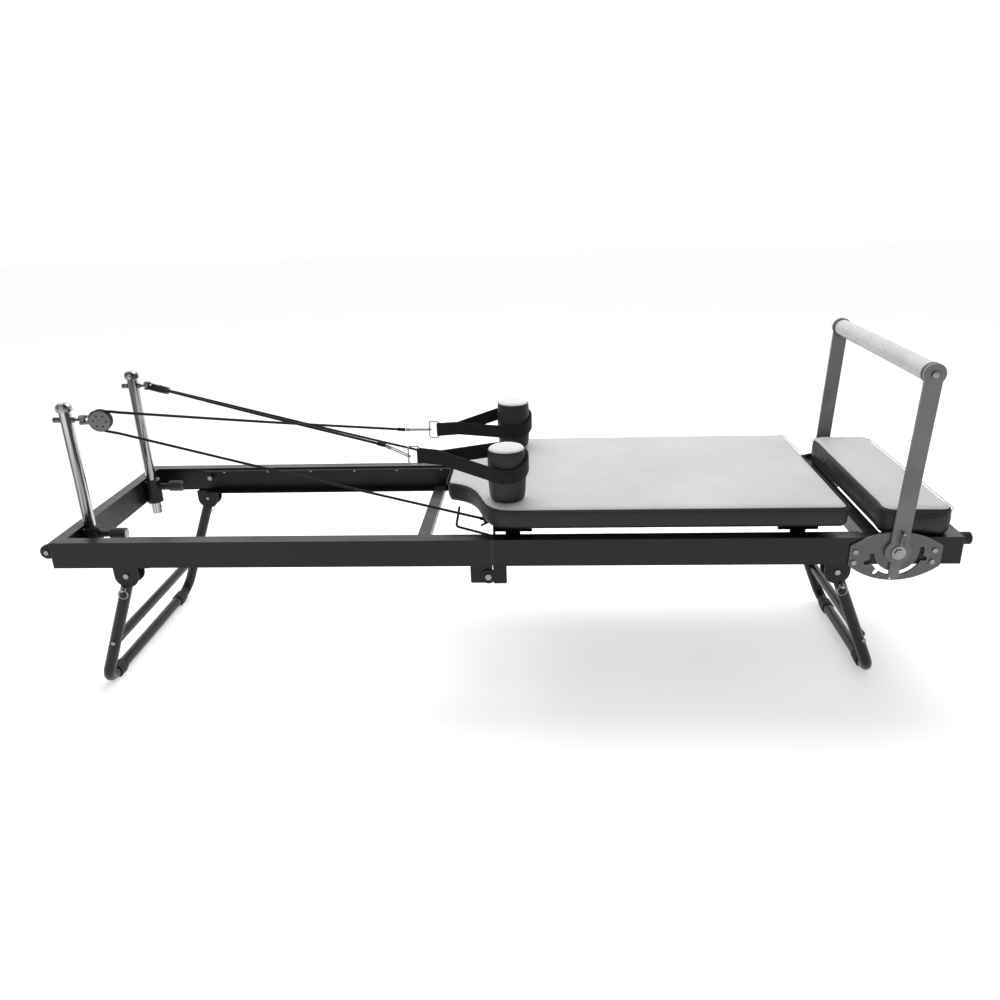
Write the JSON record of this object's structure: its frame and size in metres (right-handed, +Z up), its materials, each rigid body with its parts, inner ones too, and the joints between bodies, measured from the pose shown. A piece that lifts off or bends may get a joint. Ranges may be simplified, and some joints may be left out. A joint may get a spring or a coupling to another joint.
{
  "type": "pilates reformer",
  "caption": "Folding pilates reformer with a rolling padded carriage, shoulder rests, rope pulleys on posts, hand straps, a tilting footbar, a foot platform and folding legs.",
  "frame": {"origin": "on the floor, under the middle of the frame's length and width", "axes": "+X from the pulley end to the footbar end, +Y to the left of a person lying on the carriage, +Z up"},
  "size_m": [2.464, 0.71, 0.921],
  "materials": {
    "frame_paint": "satin",
    "black_steel": "satin",
    "leg_paint": "satin",
    "hammered_steel": "hammered",
    "zinc": "satin",
    "chrome": "polished",
    "stainless": "brushed",
    "arm_steel": "satin",
    "bar_grip": "satin",
    "plastic": "matte",
    "nylon": "satin",
    "rubber": "matte",
    "pad_leather": "grained",
    "board": "wrapped",
    "rope_cord": "braided",
    "webbing": "woven",
    "spring_steel": "wound"
  },
  "bodies": {
    "foot_frame": {"foot_rails": "frame_paint", "foot_rail_caps": "plastic", "foot_cross_members": "frame_paint", "foot_tracks": "black_steel", "foot_leg_brackets": "black_steel", "foot_hinge_plates": "black_steel", "foot_bolts": "zinc", "end_bumpers": "rubber", "footbar_quadrants": "hammered_steel", "foot_board": "board", "foot_pad": "pad_leather"},
    "head_frame": {"head_rails": "frame_paint", "head_rail_caps": "plastic", "head_cross_members": "frame_paint", "head_tracks": "black_steel", "head_leg_brackets": "black_steel", "head_hinge_plates": "black_steel", "head_bolts": "zinc", "post_sockets": "black_steel", "rope_right": "rope_cord", "rope_left": "rope_cord"},
    "carriage": {"carriage_pad": "pad_leather", "carriage_board": "board", "carriage_underframe": "frame_paint", "carriage_pins": "zinc", "carriage_rod": "black_steel", "shoulder_rests": "pad_leather", "straps": "webbing", "strap_rings": "chrome", "snap_hooks": "chrome", "springs": "spring_steel"},
    "head_legs": {"head_leg_frame": "leg_paint", "head_leg_feet": "rubber"},
    "foot_legs": {"foot_leg_frame": "leg_paint", "foot_leg_feet": "rubber"},
    "footbar_pivot": {"footbar_hub": "black_steel"},
    "footbar": {"footbar_arms": "arm_steel", "footbar_tube": "bar_grip", "footbar_rings": "plastic", "footbar_springs": "spring_steel"},
    "transport_wheel_right": {"transport_wheel_right": "rubber"},
    "head_leg_lock_right": {"head_leg_lock_right": "zinc"},
    "foot_leg_lock_right": {"foot_leg_lock_right": "zinc"},
    "post_right": {"post_right": "chrome", "eye_bolt_right": "stainless"},
    "pop_pin_right": {"pop_pin_right": "plastic"},
    "pulley_right": {"pulley_block_right": "stainless"},
    "sheave_right": {"sheave_right": "nylon"},
    "head_wheel_right": {"head_wheel_right": "nylon"},
    "foot_wheel_right": {"foot_wheel_right": "nylon"},
    "transport_wheel_left": {"transport_wheel_left": "rubber"},
    "head_leg_lock_left": {"head_leg_lock_left": "zinc"},
    "foot_leg_lock_left": {"foot_leg_lock_left": "zinc"},
    "post_left": {"post_left": "chrome", "eye_bolt_left": "stainless"},
    "pop_pin_left": {"pop_pin_left": "plastic"},
    "pulley_left": {"pulley_block_left": "stainless"},
    "sheave_left": {"sheave_left": "nylon"},
    "head_wheel_left": {"head_wheel_left": "nylon"},
    "foot_wheel_left": {"foot_wheel_left": "nylon"}
  },
  "joints": [
    {"name": "frame_fold", "type": "hinge", "parent": "foot_frame", "child": "head_frame", "pos_m": [-0.012, 0, 0.365], "axis": [0, -1, 0], "range_deg": [0, 176]},
    {"name": "head_leg_fold", "type": "hinge", "parent": "head_frame", "child": "head_legs", "pos_m": [-1.006, 0, 0.37], "axis": [0, -1, 0], "range_deg": [0, 111]},
    {"name": "foot_leg_fold", "type": "hinge", "parent": "foot_frame", "child": "foot_legs", "pos_m": [0.922, 0, 0.34], "axis": [0, 1, 0], "range_deg": [0, 116]},
    {"name": "carriage_slide", "type": "slide", "parent": "foot_frame", "child": "carriage", "axis": [-1, 0, 0], "range_m": [0, 0.7], "deforming": ["rope_right", "rope_left"]},
    {"name": "footbar_swing", "type": "hinge", "parent": "foot_frame", "child": "footbar_pivot", "pos_m": [1.035, 0, 0.437], "axis": [0, 1, 0], "range_deg": [-72, 63]},
    {"name": "footbar_lift", "type": "slide", "parent": "footbar_pivot", "child": "footbar", "axis": [0.0471, 0, 0.9989], "range_m": [0, 0.0034], "stiffness_N_per_m": 3000, "springref_m": -0.004},
    {"name": "transport_wheel_right_spin", "type": "hinge", "parent": "head_frame", "child": "transport_wheel_right", "pos_m": [-1.212, 0, 0.444], "axis": [0, 1, 0], "continuous": true},
    {"name": "post_right_height", "type": "slide", "parent": "head_frame", "child": "post_right", "axis": [0, 0, 1], "range_m": [0, 0.035]},
    {"name": "pop_pin_right_pull", "type": "slide", "parent": "head_frame", "child": "pop_pin_right", "axis": [1, 0, 0], "range_m": [0, 0.008], "stiffness_N_per_m": 800, "springref_m": -0.004},
    {"name": "pulley_right_swivel", "type": "hinge", "parent": "post_right", "child": "pulley_right", "pos_m": [-1.103, -0.1965, 0.781], "axis": [0, 0, 1], "range_deg": [-8, 8]},
    {"name": "sheave_right_spin", "type": "hinge", "parent": "pulley_right", "child": "sheave_right", "pos_m": [-1.05947, -0.18646, 0.77557], "axis": [-0.2248, 0.9744, 0], "continuous": true},
    {"name": "head_wheel_right_spin", "type": "hinge", "parent": "carriage", "child": "head_wheel_right", "pos_m": [0.053, 0, 0.4288], "axis": [0, -1, 0], "continuous": true},
    {"name": "foot_wheel_right_spin", "type": "hinge", "parent": "carriage", "child": "foot_wheel_right", "pos_m": [0.805, 0, 0.4288], "axis": [0, -1, 0], "continuous": true},
    {"name": "head_leg_lock_right_pull", "type": "slide", "parent": "head_legs", "child": "head_leg_lock_right", "axis": [0, -1, 0], "range_m": [0, 0.008], "stiffness_N_per_m": 600, "springref_m": -0.004},
    {"name": "foot_leg_lock_right_pull", "type": "slide", "parent": "foot_legs", "child": "foot_leg_lock_right", "axis": [0, -1, 0], "range_m": [0, 0.008], "stiffness_N_per_m": 600, "springref_m": -0.004},
    {"name": "transport_wheel_left_spin", "type": "hinge", "parent": "head_frame", "child": "transport_wheel_left", "pos_m": [-1.212, 0, 0.444], "axis": [0, 1, 0], "continuous": true},
    {"name": "post_left_height", "type": "slide", "parent": "head_frame", "child": "post_left", "axis": [0, 0, 1], "range_m": [0, 0.035]},
    {"name": "pop_pin_left_pull", "type": "slide", "parent": "head_frame", "child": "pop_pin_left", "axis": [1, 0, 0], "range_m": [0, 0.008], "stiffness_N_per_m": 800, "springref_m": -0.004},
    {"name": "pulley_left_swivel", "type": "hinge", "parent": "post_left", "child": "pulley_left", "pos_m": [-1.103, 0.1965, 0.781], "axis": [0, 0, 1], "range_deg": [-8, 8]},
    {"name": "sheave_left_spin", "type": "hinge", "parent": "pulley_left", "child": "sheave_left", "pos_m": [-1.05998, 0.18637, 0.77253], "axis": [0.2518, 0.3, 0.9201], "continuous": true},
    {"name": "head_wheel_left_spin", "type": "hinge", "parent": "carriage", "child": "head_wheel_left", "pos_m": [0.053, 0, 0.4288], "axis": [0, -1, 0], "continuous": true},
    {"name": "foot_wheel_left_spin", "type": "hinge", "parent": "carriage", "child": "foot_wheel_left", "pos_m": [0.805, 0, 0.4288], "axis": [0, -1, 0], "continuous": true},
    {"name": "head_leg_lock_left_pull", "type": "slide", "parent": "head_legs", "child": "head_leg_lock_left", "axis": [0, 1, 0], "range_m": [0, 0.008], "stiffness_N_per_m": 600, "springref_m": -0.004},
    {"name": "foot_leg_lock_left_pull", "type": "slide", "parent": "foot_legs", "child": "foot_leg_lock_left", "axis": [0, 1, 0], "range_m": [0, 0.008], "stiffness_N_per_m": 600, "springref_m": -0.004}
  ],
  "couplings": [
    {"joint": "head_leg_fold", "follows": "frame_fold", "ratio": 0.63068},
    {"joint": "foot_leg_fold", "follows": "frame_fold", "ratio": 0.65909},
    {"joint": "head_wheel_right_spin", "follows": "carriage_slide", "rad_per_m": 35.714},
    {"joint": "foot_wheel_right_spin", "follows": "carriage_slide", "rad_per_m": 35.714},
    {"joint": "head_wheel_left_spin", "follows": "carriage_slide", "rad_per_m": 35.714},
    {"joint": "foot_wheel_left_spin", "follows": "carriage_slide", "rad_per_m": 35.714}
  ]
}
